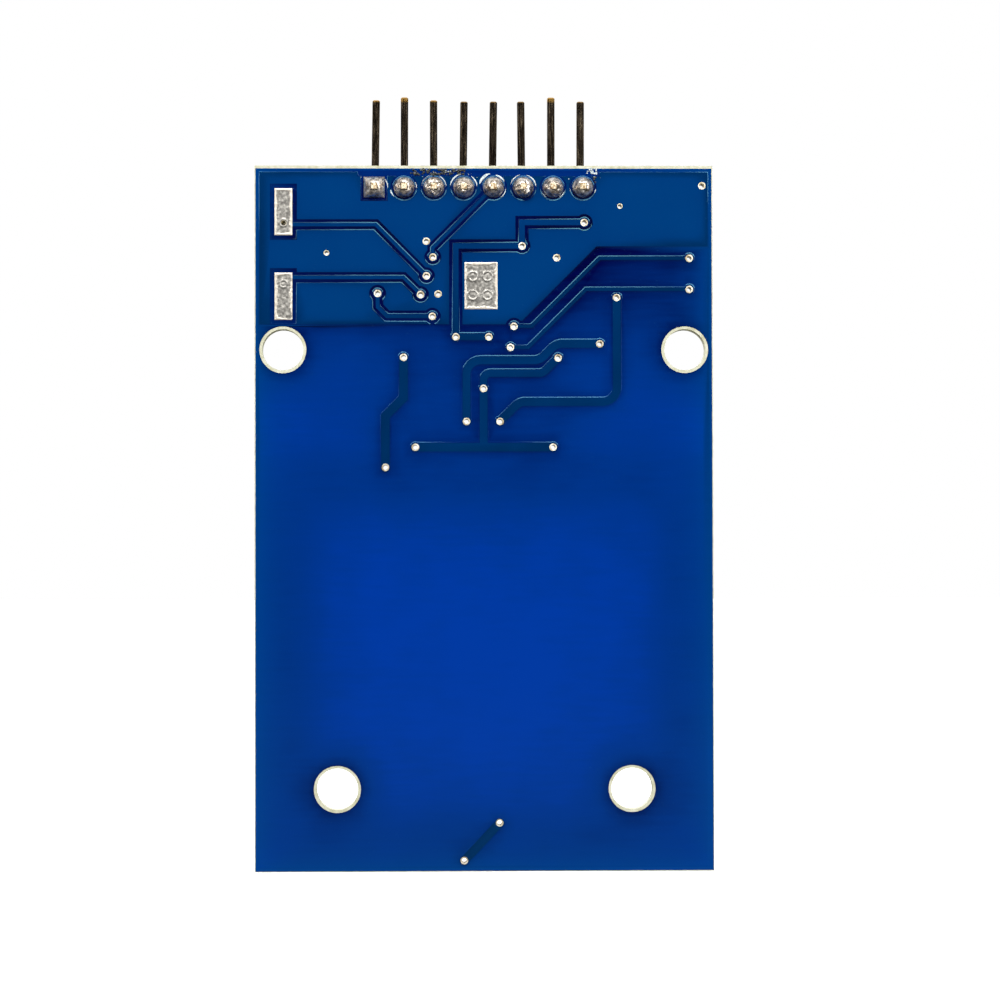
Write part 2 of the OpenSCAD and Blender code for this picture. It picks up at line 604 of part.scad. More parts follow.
laminate();
rear_copper();
front_copper();
plated_holes();
rear_tinning();
rear_solder_mask();
front_solder_mask();
front_legend();
header_body();
for (i = [1:pins]) {
    header_pin(i);
    solder_joint(i);
}
reader_chip_body();
reader_chip_terminals();
crystal_can();
crystal_base();
crystal_leads();
indicator_body();
indicator_lens();
indicator_terminals();
for (i = [1:2]) inductor_core(i);
inductor_terminals();
for (i = [1:12]) capacitor(i);
for (i = [1:4]) resistor(i);
chip_end_caps();
component_solder();
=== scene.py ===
# %% [markdown]
# # A contactless-card reader board
#
# This lesson finishes a small blue circuit board. The frame brings every part at its real size, so
# nothing here is scaled or moved. What Blender adds is what a drawing leaves out: lacquer that dips
# between the tracks, daylight glowing through the glass fibre, uneven solder and drawn wire.

# %% Load the frame
import math
import bmesh
import bpy
import numpy as np
from mathutils import Matrix, Vector, noise
from mathutils.geometry import delaunay_2d_cdt


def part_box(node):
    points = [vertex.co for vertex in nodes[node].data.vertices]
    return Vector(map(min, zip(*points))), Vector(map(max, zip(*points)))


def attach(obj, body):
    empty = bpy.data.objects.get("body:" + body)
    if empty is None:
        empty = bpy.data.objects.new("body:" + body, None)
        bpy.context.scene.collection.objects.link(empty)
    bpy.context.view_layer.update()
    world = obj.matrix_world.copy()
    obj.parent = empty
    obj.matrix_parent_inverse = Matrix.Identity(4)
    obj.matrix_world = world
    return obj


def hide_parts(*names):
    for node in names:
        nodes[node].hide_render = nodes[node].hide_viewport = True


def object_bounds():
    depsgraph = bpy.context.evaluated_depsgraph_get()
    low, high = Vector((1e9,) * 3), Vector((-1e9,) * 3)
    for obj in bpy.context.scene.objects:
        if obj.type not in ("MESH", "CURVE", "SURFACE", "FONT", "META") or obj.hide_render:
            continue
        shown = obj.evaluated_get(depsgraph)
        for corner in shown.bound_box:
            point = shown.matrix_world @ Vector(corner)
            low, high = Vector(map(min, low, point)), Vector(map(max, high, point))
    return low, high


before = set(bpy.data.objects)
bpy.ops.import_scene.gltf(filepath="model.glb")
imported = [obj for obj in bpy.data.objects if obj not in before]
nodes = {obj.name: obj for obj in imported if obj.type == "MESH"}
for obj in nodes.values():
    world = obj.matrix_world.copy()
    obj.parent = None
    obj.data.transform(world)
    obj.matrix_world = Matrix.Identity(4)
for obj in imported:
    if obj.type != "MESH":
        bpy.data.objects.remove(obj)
cad_box = [list(corner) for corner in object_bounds()]
MM = 0.001
print("nodes:", len(nodes), " box in mm:", [[round(v / MM, 2) for v in c] for c in cad_box])

# %% [markdown]
# ## Camera
#
# The board is looked at almost square on, from its solder side, with a short telephoto lens. The
# camera goes round the point that stays in the middle of the view.

# %% Camera
FOCUS = Vector((1.33, 0, -12.79)) * MM
DISTANCE = 270 * MM
TURN, LIFT, ROLL = (math.radians(a) for a in (-1.3, -1.35, -0.11))
back = Vector((math.sin(TURN) * math.cos(LIFT), -math.cos(TURN) * math.cos(LIFT), math.sin(LIFT)))
camera = bpy.data.objects.new("camera", bpy.data.cameras.new("camera"))
bpy.context.collection.objects.link(camera)
camera.data.lens = 114.35
camera.data.clip_start = 10 * MM
look = back.to_track_quat("Z", "Y").to_matrix().to_4x4()
camera.matrix_world = Matrix.Translation(FOCUS + back * DISTANCE) @ look @ Matrix.Rotation(ROLL, 4, "Z")
bpy.context.scene.camera = camera
print("camera at", [round(v / MM) for v in camera.location], "mm")

# %% [markdown]
# ## Small helpers
#
# Colours are written as sRGB hex values, as colour charts give them, and turned to the linear
# values that shaders use. One function adds any node: it sets what it is given as a value, links
# what it is given as a socket, places the stops of a colour ramp and hands back one output.

# %% Colours and nodes
def linear(code):
    parts = [int(code[i:i + 2], 16) / 255 for i in (1, 3, 5)]
    return tuple(p / 12.92 if p <= 0.04045 else ((p + 0.055) / 1.055) ** 2.4 for p in parts) + (1.0,)


def add(tree, kind, inputs=(), out=0, stops=(), **settings):
    node = tree.nodes.new("ShaderNode" + kind)
    for name, value in settings.items():
        setattr(node, name, value)
    for name, value in dict(inputs).items():
        if isinstance(value, bpy.types.NodeSocket):
            tree.links.new(value, node.inputs[name])
        else:
            node.inputs[name].default_value = value
    for number, (place, code) in enumerate(stops):
        points = node.color_ramp.elements
        point = points[number] if number < 2 else points.new(place)
        point.position, point.color = place, linear(code)
    return node.outputs[out]


print("mid grey #808080 is", round(linear("#808080")[0], 3), "in linear light")

# %% [markdown]
# A material starts as a Principled shader with its plain values. Whatever varies over the surface is
# fed into it afterwards, and then the material is put on the CAD parts that are made of it.

# %% Materials
def material(name, **sockets):
    made = bpy.data.materials.new(name)
    made.use_nodes = True
    shader = made.node_tree.nodes["Principled BSDF"]
    for socket, value in sockets.items():
        shader.inputs[socket.replace("_", " ")].default_value = value
    return made, made.node_tree, shader


def feed(tree, shader, **sockets):
    for socket, value in sockets.items():
        tree.links.new(value, shader.inputs[socket.replace("_", " ")])


def dress(finish, *names):
    """Gives CAD nodes their material."""
    for name in names:
        slots = nodes[name].data.materials
        slots.clear()
        slots.append(finish)

# %% [markdown]
# Every pattern is set out in millimetres. Object coordinates are in metres, so they are multiplied by
# 1000 first, and a pattern that repeats every so many millimetres then has one over that as its scale.
# A stretch below one squeezes the coordinates along an axis, which draws the pattern out along it.
# Noise comes in four grades, from smooth to crusty. Its values lie mostly between 0.3 and 0.7.

# %% Patterns in millimetres
SMOOTH, CLOUDY, GRITTY, CRUSTY = ({"Detail": detail, "Roughness": 0.55} for detail in (1.0, 2.0, 3.0, 4.0))
NOISE_SPAN = {"From Min": 0.3, "From Max": 0.7}
COLOURS = {"data_type": "RGBA", "out": 2}       # a mix of colours: input 0 mixes input 6 with input 7


def pattern(tree, size_mm, inputs, stretch=(1, 1, 1), kind="TexNoise", **settings):
    spot = add(tree, "TexCoord", out="Object")
    spot = add(tree, "Mapping", {"Vector": spot, "Scale": tuple(1000 * s for s in stretch)})
    return add(tree, kind, {"Vector": spot, "Scale": 1 / size_mm, **inputs}, out="Fac", **settings)


print("grades of noise, by detail:", [grade["Detail"] for grade in (SMOOTH, CLOUDY, GRITTY, CRUSTY)])

# %% [markdown]
# ## Room and light
#
# The board stands on its lower edge on a white floor, against white. Soft lights hang above the
# camera: a flat face sends their reflection down and away, and only the edges of the tracks that face
# up or aslant catch it. Only a narrow cone behind the camera is dark: flat lacquer and flat wire
# mirror that cone, while a round solder joint mirrors the grey room round it.

# %% Floor
FLOOR_GAP = 0.02 * MM
bpy.context.scene.view_settings.view_transform = "Standard"
low, high = (Vector(c) for c in cad_box)
bpy.ops.mesh.primitive_plane_add(size=6, location=(0, 0, low.z - FLOOR_GAP))
floor = bpy.context.object
floor.name = "floor"
# matt paper: to the eye an even white; the board itself sees it as a dark table, so that no white
# haze comes up from below into the lacquer
paper, tree, shader = material("matt_paper_floor", Roughness=0.9)
eye = add(tree, "LightPath", out="Is Camera Ray")
fibre = add(tree, "TexNoise", {"Scale": 900.0}, out="Fac")
white = add(tree, "Mix", {0: fibre, 6: linear("#f4f4f4"), 7: linear("#ffffff")}, **COLOURS)
seen_white = add(tree, "Mix", {0: eye, 6: linear("#303030"), 7: white}, **COLOURS)
feed(tree, shader, Base_Color=seen_white, Emission_Color=white,
     Emission_Strength=add(tree, "Math", {0: eye, 1: 0.9}, operation="MULTIPLY"))
floor.data.materials.append(paper)
print("floor at", round(floor.location.z / MM, 2), "mm")

# %% [markdown]
# The backdrop is a world whose brightness depends only on how far a direction points away from the
# camera's side: dark straight behind the camera, grey round the room, white behind the board.

# %% Backdrop
world = bpy.data.worlds.new("studio")
bpy.context.scene.world = world
world.use_nodes = True
tree = world.node_tree
seen = add(tree, "LightPath", out="Is Camera Ray")
towards = add(tree, "SeparateXYZ", {0: add(tree, "TexCoord", out="Generated")}, out="Y")
around = add(tree, "ValToRGB", {"Fac": add(tree, "MapRange", {"Value": towards, "From Min": -1.0})},
             stops=((0.05, "#131313"), (0.16, "#a4a4a4"), (0.5, "#b4b4b4"), (0.62, "#ffffff")))
shade = tree.nodes["Background"]
shade.inputs["Color"].default_value = linear("#ffffff")
feed(tree, shade, Strength=add(tree, "Math", {0: seen, 1: around}, operation="MAXIMUM"))
print("world nodes:", len(tree.nodes))

# %% [markdown]
# The slopes beside a track lean back about twenty degrees, so a light shows in them when it stands
# about forty degrees off the line of sight. Three panels stand on that arc: one above for the level
# tracks, and one to each side for the slanting ones.

# %% Lights
AIM = Vector((0, 0, -12)) * MM


def soft_light(name, spot_mm, size_mm, watts):
    lamp = bpy.data.lights.new(name, "AREA")
    lamp.shape = "RECTANGLE"
    lamp.size, lamp.size_y = (s * MM for s in size_mm)
    lamp.energy = watts
    holder = bpy.data.objects.new(name, lamp)
    bpy.context.collection.objects.link(holder)
    holder.location = Vector(spot_mm) * MM
    holder.rotation_euler = (holder.location - AIM).to_track_quat("Z", "Y").to_euler()


soft_light("key", (0, -290, 235), (280, 120), 1.24)
soft_light("key_left", (-195, -300, 165), (120, 130), 0.58)
soft_light("key_right", (195, -300, 165), (120, 130), 0.58)
soft_light("fill", (300, -260, 30), (160, 200), 0.3)
soft_light("back_key", (-220, 260, 260), (260, 200), 0.8)

# %% [markdown]
# ## Reading the copper
#
# The lacquer has to follow the copper underneath it. The frame's copper node already holds every
# track as a thin solid, so the outline of its outer face is all that is needed: the edges that only
# one of that face's triangles uses, joined end to end.

# %% Outlines of a flat face
def flat_outline(name, height):
    """Loops of (x, z) points in mm round the faces of a CAD node that lie at the given height."""
    mesh = nodes[name].data
    key = lambda i: (round(mesh.vertices[i].co.x / MM, 4), round(mesh.vertices[i].co.z / MM, 4))
    edges = {}
    for face in mesh.polygons:
        corners = list(face.vertices)
        if all(abs(mesh.vertices[i].co.y / MM - height) < 0.002 for i in corners):
            for a, b in zip(corners, corners[1:] + corners[:1]):
                a, b = key(a), key(b)
                if (b, a) in edges:
                    del edges[(b, a)]
                elif a != b:
                    edges[(a, b)] = True
    after = {}
    for a, b in edges:
        after.setdefault(a, []).append(b)
    loops = []
    while after:
        start = next(iter(after))
        loop, here = [], start
        while here in after:
            loop.append(here)
            step = after[here].pop()
            if not after[here]:
                del after[here]
            here = step
            if here == start:
                break
        loops.append(np.array(loop))
    return [loop for loop in loops if len(loop) > 2]


def swollen(loop, by, side):
    """The same loop pushed outwards, with mitred corners."""
    before, after = loop - np.roll(loop, 1, 0), np.roll(loop, -1, 0) - loop
    turn = lambda d: side * np.stack([d[:, 1], -d[:, 0]], 1) / np.maximum(
        np.linalg.norm(d, axis=1, keepdims=True), 1e-6)
    n1, n2 = turn(before), turn(after)
    share = np.maximum(1 + (n1 * n2).sum(1, keepdims=True), 0.35)
    return loop + by * (n1 + n2) / share


def segments(loops):
    return np.concatenate([np.stack([loop, np.roll(loop, -1, 0)], 1) for loop in loops])

# %% [markdown]
# Two questions come up again and again: is a point inside an outline, and how far is it from the
# nearest edge? Both are answered for thousands of points at once with arrays.

# %% Inside and distance
def in_batches(test, points, size=1500):
    return np.concatenate([test(points[i:i + size]) for i in range(0, len(points), size)])


def inside(points, edges):
    a, b = edges[:, 0], edges[:, 1]

    def test(p):
        spans = (a[None, :, 1] > p[:, None, 1]) != (b[None, :, 1] > p[:, None, 1])
        rise = np.where(b[:, 1] == a[:, 1], 1, b[:, 1] - a[:, 1])
        cross = a[:, 0] + (p[:, None, 1] - a[:, 1]) * (b[:, 0] - a[:, 0]) / rise
        return (spans & (p[:, None, 0] < cross)).sum(1) % 2 == 1
    return in_batches(test, points)


def distance(points, edges):
    a, run = edges[:, 0], edges[:, 1] - edges[:, 0]
    length = np.maximum((run ** 2).sum(1), 1e-12)

    def test(p):
        off = p[:, None] - a[None]
        along = np.clip((off * run).sum(2) / length, 0, 1)
        return np.sqrt(((off - along[..., None] * run) ** 2).sum(2).min(1))
    return in_batches(test, points)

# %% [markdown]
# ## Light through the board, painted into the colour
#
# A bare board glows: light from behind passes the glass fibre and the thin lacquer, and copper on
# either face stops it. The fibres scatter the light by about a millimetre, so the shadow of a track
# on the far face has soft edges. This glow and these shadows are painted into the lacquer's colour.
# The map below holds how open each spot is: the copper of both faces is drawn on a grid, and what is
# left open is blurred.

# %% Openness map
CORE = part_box("laminate")[1].y / MM
FOIL = -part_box("rear_copper")[0].y / MM
OUTER = -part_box("rear_solder_mask")[0].y / MM
FILM = OUTER - FOIL
GRID = 0.1              # the map's spacing, in mm
FRONT_STOPS = 0.55      # how much of the light the copper of the far face keeps back
SCATTER = {0.8: 0.6, 2.5: 0.4}      # share of the light that each spread in mm takes
GLOW_REACH = 6.0        # how far light runs sideways inside the laminate, in mm
faces = {"rear": (-1, 0.0), "front": (1, CORE)}
copper_loops = {"rear": flat_outline("rear_copper", -FOIL),
                "front": flat_outline("front_copper", CORE + FOIL)}
board_low = np.array([low.x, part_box("laminate")[0].z]) / MM
board_high = np.array([high.x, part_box("laminate")[1].z]) / MM
columns, rows = (int(n) for n in np.round((board_high - board_low) / GRID))


def drawn(edges):
    """1 where the outline's area covers the grid, row by row."""
    cover = np.zeros((rows, columns))
    places = board_low[0] + (np.arange(columns) + 0.5) * GRID
    for row in range(rows):
        z = board_low[1] + (row + 0.5) * GRID
        crossing = edges[(edges[:, 0, 1] > z) != (edges[:, 1, 1] > z)]
        if len(crossing):
            a, b = crossing[:, 0], crossing[:, 1]
            x = np.sort(a[:, 0] + (z - a[:, 1]) * (b[:, 0] - a[:, 0]) / (b[:, 1] - a[:, 1]))
            cover[row] = np.searchsorted(x, places) % 2
    return cover


def blurred(grid, spread_mm):
    reach = int(3 * spread_mm / GRID)
    weights = np.exp(-0.5 * (np.arange(-reach, reach + 1) * GRID / spread_mm) ** 2)
    weights /= weights.sum()
    for axis in (0, 1):
        padded = np.pad(grid, [(reach, reach) if k == axis else (0, 0) for k in (0, 1)], mode="edge")
        grid = np.apply_along_axis(lambda line: np.convolve(line, weights, "valid"), axis, padded)
    return grid

print("copper loops:", {k: len(v) for k, v in copper_loops.items()}, " grid:", columns, "x", rows)

# %% [markdown]
# Three maps come out of this: how open each spot is, how broad the copper round it is, and where the
# bolt holes are, because their walls shade the laminate beside them; that shade is painted in too.

# %% Maps of glow and breadth
cover = {side: drawn(segments(loops)) for side, loops in copper_loops.items()}
through = (1 - cover["rear"]) * (1 - FRONT_STOPS * cover["front"])
open_share = sum(share * blurred(through, spread) for spread, share in SCATTER.items())
deep_glow = blurred(through, GLOW_REACH)
openness = open_share * (0.4 + 0.6 * (deep_glow / deep_glow.max()) ** 2)
openness = np.clip(openness / np.percentile(openness, 99.5), 0, 1)
breadth = blurred(cover["rear"], 0.7)
bolt_holes = np.array([[x, z] for loop in flat_outline("rear_solder_mask", -OUTER)
                       for x, z in [(loop.max(0) + loop.min(0)) / 2]
                       if 3 < np.ptp(loop[:, 0]) < 6 and 3 < np.ptp(loop[:, 1]) < 6])


def sampled(grid, points):
    spot = (points - board_low) / GRID - 0.5
    x = np.clip(spot[:, 0], 0, columns - 1.001)
    z = np.clip(spot[:, 1], 0, rows - 1.001)
    i, j = x.astype(int), z.astype(int)
    u, v = x - i, z - j
    return ((1 - v) * ((1 - u) * grid[j, i] + u * grid[j, i + 1])
            + v * ((1 - u) * grid[j + 1, i] + u * grid[j + 1, i + 1]))


print("bolt holes at", bolt_holes.round(2).tolist())

# %% [markdown]
# ## The lacquer
#
# Solder mask is poured over the etched board and cured, so it lies level on the tracks, slopes down
# beside them over less than a tenth of a millimetre and lies level again on the laminate. A bevel
# can't do that, because the slope is wider than the step is high. Here the sheet is triangulated
# from its own outline, the copper's edges and the same edges pushed outwards, and every point is
# then given its height from its distance to the copper.

# %% Lacquer sheet
SLOPE = 0.11            # width of the slope beside a track, in mm
INSET = 0.03            # how far inside its edge a track has its full colour
MESH_STEP = 0.8         # spacing of the extra points that carry the glow
# painted light and shade: the light let in at the cut sides, the dim ring round a bolt hole and the dark line
# along the foot of a track all go into the lacquer's colour
RIM_FADE = 1.1          # the board's cut sides let light in over about a millimetre
HOLE_REACH, HOLE_SHADE, HOLE_FADE = 2.0, 0.7, 1.2       # the dim ring round a bolt hole
FOOT_SHADE, FOOT_FADE = 0.4, 0.25       # the dark line along the foot of a track


def painted(side, flat, covered, gap, away):
    """What each point of the sheet shows: metal or not, painted glow and shade, breadth of the copper,
    painted light at the rim.
    """
    painted_glow_and_shade = sampled(openness, flat)
    near = np.sqrt(((flat[:, None] - bolt_holes[None]) ** 2).sum(2)).min(1) - HOLE_REACH
    painted_glow_and_shade *= 1 - HOLE_SHADE * np.exp(-np.maximum(near, 0) / HOLE_FADE)
    painted_glow_and_shade *= 1 - FOOT_SHADE * np.exp(-away / FOOT_FADE)
    sides = np.minimum(flat[:, 0] - board_low[0], board_high[0] - flat[:, 0])
    sides = np.minimum(sides, flat[:, 1] - board_low[1])
    return {"metal": np.where(covered, np.clip(gap / INSET, 0, 1), 0), "painted_glow_and_shade": painted_glow_and_shade,
            "breadth": sampled(breadth, flat) if side == "rear" else np.ones(len(flat)),
            "rim": np.exp(-sides / RIM_FADE)}


def lacquer(side, cad_name):
    facing, base = faces[side]
    outline = flat_outline(cad_name, base + facing * OUTER)
    copper = copper_loops[side]
    rim, edges = segments(outline), segments(copper)
    toes = [swollen(loop, SLOPE, -facing) for loop in copper]
    middles = [swollen(loop, SLOPE / 2, -facing) for loop in copper]
    inner = [swollen(loop, -INSET, -facing) for loop in copper]
    points, links = [], []
    for loop in outline + inner + copper + middles + toes:
        first = len(points)
        points += [tuple(p) for p in loop]
        links += [(first + k, first + (k + 1) % len(loop)) for k in range(len(loop))]
    xs = np.arange(board_low[0] + 0.5, board_high[0], MESH_STEP)
    zs = np.arange(board_low[1] + 0.5, board_high[1], MESH_STEP)
    lattice = np.stack(np.meshgrid(xs, zs), -1).reshape(-1, 2)
    clear = (distance(lattice, edges) > 2 * SLOPE) & (distance(lattice, rim) > SLOPE)
    points += [tuple(p) for p in lattice[clear]]
    flat, _, triangles = delaunay_2d_cdt([Vector(p) for p in points], links, [], 0, 1e-5, False)[:3]
    flat = np.array([tuple(p) for p in flat])
    triangles = np.array([t for t in triangles if len(t) == 3])
    middle = flat[triangles].mean(1)
    triangles = triangles[inside(middle, rim)]
    used, triangles = np.unique(triangles, return_inverse=True)
    triangles, flat = triangles.reshape(-1, 3), flat[used]
    gap = distance(flat, edges)
    covered = inside(flat, edges)
    away = np.where(covered | (gap < 0.002), 0, gap)
    fall = np.clip(away / SLOPE, 0, 1)
    fall = fall * fall * (3 - 2 * fall)
    return flat, triangles, 1 - fall, facing, base, painted(side, flat, covered, gap, away)


print("slope", SLOPE, "mm wide beside copper", round(FOIL, 3), "mm high")

# %% [markdown]
# The sheet is closed with a second face under the first and with walls round its rims, where it ends
# at a pad or at the board's edge. Level triangles stay flat, and only the slopes are smooth, so that
# the bright line beside a track keeps its sharp edges.

# %% Closed sheet
def closed_sheet(name, flat, triangles, on_copper, facing, base, paint):
    """A sheet as thick as the lacquer, with both faces and its rims."""
    outer = base + facing * (FILM + FOIL * on_copper)
    count = len(flat)
    shape = np.zeros((2 * count, 3))
    for half, y in enumerate((outer, outer - facing * FILM)):
        part = slice(half * count, (half + 1) * count)
        shape[part, 0], shape[part, 1], shape[part, 2] = flat[:, 0], y, flat[:, 1]
    a, b, c = (flat[triangles[:, k]] for k in range(3))
    area = (b[:, 0] - a[:, 0]) * (c[:, 1] - a[:, 1]) - (c[:, 0] - a[:, 0]) * (b[:, 1] - a[:, 1])
    wanted = area > 0 if facing < 0 else area < 0
    triangles = np.where(wanted[:, None], triangles, triangles[:, ::-1])
    border = {}
    for t in triangles:
        for a, b in ((t[0], t[1]), (t[1], t[2]), (t[2], t[0])):
            if (b, a) in border:
                del border[(b, a)]
            else:
                border[(a, b)] = True
    skin = [tuple(int(i) for i in t) for t in triangles]
    under = [(c + count, b + count, a + count) for a, b, c in skin]
    walls = [(int(b), int(a), int(a) + count, int(b) + count) for a, b in border]
    mesh = bpy.data.meshes.new(name)
    mesh.from_pydata((shape * MM).tolist(), [], skin + under + walls)
    for title, values in paint.items():
        layer = mesh.attributes.new(title, "FLOAT", "POINT")
        layer.data.foreach_set("value", np.tile(values, 2).astype(np.float32))
    piece = bpy.data.objects.new(name, mesh)
    bpy.context.collection.objects.link(piece)
    level = np.isin(on_copper[triangles].sum(1).round(4), (0.0, 3.0))
    smooth = np.concatenate([~level, np.zeros(len(under) + len(walls), bool)])
    mesh.polygons.foreach_set("use_smooth", smooth)
    mesh.update()
    return piece


masks = {}
for side, cad_name, name in (("rear", "rear_solder_mask", "rear_lacquer"),
                             ("front", "front_solder_mask", "front_lacquer")):
    masks[side] = closed_sheet(name, *lacquer(side, cad_name))
    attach(masks[side], "root")
    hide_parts(cad_name)
    print(name, "has", len(masks[side].data.polygons), "faces")

# %% [markdown]
# ## Solder mask
#
# Liquid photo-imageable solder mask: a blue epoxy, poured, exposed and baked. It is thin enough to
# show what lies under it. Over copper the metal sends light back evenly and the blue turns slightly
# green. Over laminate the glow from behind is painted into the colour, from bright blue in the open
# middle to nearly black in a narrow gap, and so is the light let in at the board's cut sides. The
# surface is glossy, with fine dust and the faint horizontal lines of the glass cloth.

# %% Solder mask
# cured epoxy: glossy and deep; the cyan tint keeps the bright lines beside the tracks from white
lacquer_blue, tree, shader = material("solder_mask_cured_epoxy", Roughness=0.14,
                                      Specular_Tint=linear("#86dcf2"))
painted_glow_and_shade, metal, broad, rim = (add(tree, "Attribute", attribute_name=title, out="Fac")
                           for title in ("painted_glow_and_shade", "metal", "breadth", "rim"))
cloud = pattern(tree, 6.0, CLOUDY)
weave = pattern(tree, 0.45, SMOOTH, stretch=(0.12, 1, 1))
uneven = painted_glow_and_shade
for lumps, depth in ((cloud, 0.05), (weave, 0.03)):
    shift = add(tree, "MapRange", {"Value": lumps, **NOISE_SPAN, "To Min": -depth, "To Max": depth})
    uneven = add(tree, "Math", {0: uneven, 1: shift})
# painted light and shade: the glow from behind, darkened round the bolt holes and along the foot of each
# track, sets this colour
painted_light_on_laminate = add(tree, "ValToRGB", {"Fac": uneven},
           stops=((0.0, "#010020"), (0.1, "#01033a"), (0.2, "#00114a"), (0.35, "#002060"),
                  (0.6, "#002b75"), (0.8, "#002d7e"), (1.0, "#00318f")))
# painted light: the laminate is made lighter towards the board's cut sides, as if light came in there
painted_rim_light_share = add(tree, "Math", {0: rim, 1: 0.55}, operation="MULTIPLY")
painted_light_on_laminate = add(tree, "Mix", {0: painted_rim_light_share, 6: painted_light_on_laminate, 7: linear("#003e71")}, **COLOURS)
plated = add(tree, "ValToRGB", {"Fac": broad},
             stops=((0.1, "#001f41"), (0.45, "#00244e"), (0.8, "#002f66"), (1.0, "#003168")))
cloud_share = add(tree, "MapRange", {"Value": cloud, **NOISE_SPAN, "To Min": 0, "To Max": 0.3})
plated = add(tree, "Mix", {0: cloud_share, 6: plated, 7: linear("#003770")}, **COLOURS)
lit = add(tree, "Mix", {0: metal, 6: painted_light_on_laminate, 7: plated}, **COLOURS)
print("lacquer colours mix", len(tree.nodes), "nodes")

# %% Dust and ripple on the solder mask
dust = pattern(tree, 0.09, SMOOTH)
flecks = add(tree, "MapRange", {"Value": dust, "From Min": 0.735, "From Max": 0.78, "To Max": 0.35})
dusty = add(tree, "Mix", {0: flecks, 6: lit, 7: linear("#2f5c82")}, **COLOURS)
wavy = add(tree, "Math", {0: pattern(tree, 2.5, CLOUDY), 1: pattern(tree, 0.3, CLOUDY)})
feed(tree, shader, Base_Color=dusty, Normal=add(tree, "Bump", {"Height": wavy, "Distance": 0.003 * MM}))
for piece in masks.values():
    piece.data.materials.append(lacquer_blue)
print("on:", [piece.name for piece in masks.values()])

# %% [markdown]
# ## Laminate
#
# FR-4 is glass cloth in epoxy, cut with a router. On its face the weave gives a fine check; its cut
# sides show the cloth as layers a fifth of a millimetre thick.

# %% Laminate
WAVE_REPEAT = 0.31      # a wave of scale 1 repeats every 0.31
CLOTH_LAYER = 0.2       # one layer of glass cloth, in mm
# glass epoxy, routed: matt cream, faintly checked on its faces and striped along its cut sides
fr4, tree, shader = material("fr4_glass_epoxy_routed", Roughness=0.6)
threads = [pattern(tree, 0.4, CLOUDY, stretch) for stretch in ((1, 1, 0.25), (0.25, 1, 1))]
checks = add(tree, "Math", dict(enumerate(threads)), operation="MULTIPLY")
cloth = add(tree, "ValToRGB", {"Fac": checks}, stops=((0.1, "#b9b793"), (0.25, "#d6d6bf"), (0.45, "#ecebdc")))
layers = pattern(tree, CLOTH_LAYER / WAVE_REPEAT, {"Distortion": 0.6, "Detail": 1.0, "Detail Scale": 2.0},
                 kind="TexWave", bands_direction="Y")
stripes = add(tree, "ValToRGB", {"Fac": layers}, stops=((0, "#8f8a66"), (1, "#efeee2")))
feed(tree, shader, Base_Color=add(tree, "Mix", {0: 0.35, 6: cloth, 7: stripes}, **COLOURS),
     Normal=add(tree, "Bump", {"Height": checks, "Distance": 0.02 * MM}))
dress(fr4, "laminate")
print("laminate is", round(CORE, 2), "mm thick, of", round(CORE / CLOTH_LAYER), "layers")

# %% [markdown]
# ## Copper and tin
#
# Etched copper foil lies wholly under the lacquer. Whatever stays bare, pads and rings on both faces,
# is dipped in molten solder and blown level with hot air, which leaves soft ripples and a slightly
# matt film. On the component side only such bare pads show of the copper node.

# %% Copper and tin
# etched copper: warm and half matt
foil, tree, shader = material("etched_copper_foil", Metallic=1.0, Roughness=0.4)
lumps = pattern(tree, 0.5, CLOUDY)
reds = add(tree, "ValToRGB", {"Fac": lumps}, stops=((0.3, "#b0673f"), (0.7, "#d08a5e")))
feed(tree, shader, Base_Color=reds)
dress(foil, "rear_copper")

# levelled tin: pale and warm, with soft ripples that blur what it mirrors
tin, tree, shader = material("hot_air_levelled_tin", Metallic=0.6)
patch = pattern(tree, 0.7, CRUSTY)
feed(tree, shader,
     Base_Color=add(tree, "ValToRGB", {"Fac": patch},
                    stops=((0.35, "#c9b489"), (0.5, "#e4dac0"), (0.62, "#f8f3e6"))),
     Roughness=add(tree, "MapRange", {"Value": patch, **NOISE_SPAN, "To Min": 0.32, "To Max": 0.55}),
     Normal=add(tree, "Bump", {"Height": patch, "Distance": 0.03 * MM}))
dress(tin, "plated_holes", "front_copper", "rear_tinning")
print("copper foil is", round(FOIL, 3), "mm thick")

# %% [markdown]
# The tin on a pad never lies flat: it pulls back from the pad's edge in places and leaves a bright,
# ragged border round a duller middle, and it stands in a low ring over every filled hole.

# %% Tinned pads
PAD_STEP = 0.04         # spacing of a pad's points, in mm
TIN = OUTER - 0.005     # how far the tin stands off the laminate
OPEN_BORE = 0.24        # the one hole in a pad that is not filled
plugs = [(*(loop.max(0) + loop.min(0)) / 2, np.ptp(loop[:, 0]) / 2)
         for loop in flat_outline("rear_tinning", -TIN) if np.ptp(loop[:, 0]) < 1]
open_hole = max((p for p in plugs if p[2] < 0.38), key=lambda p: p[1])


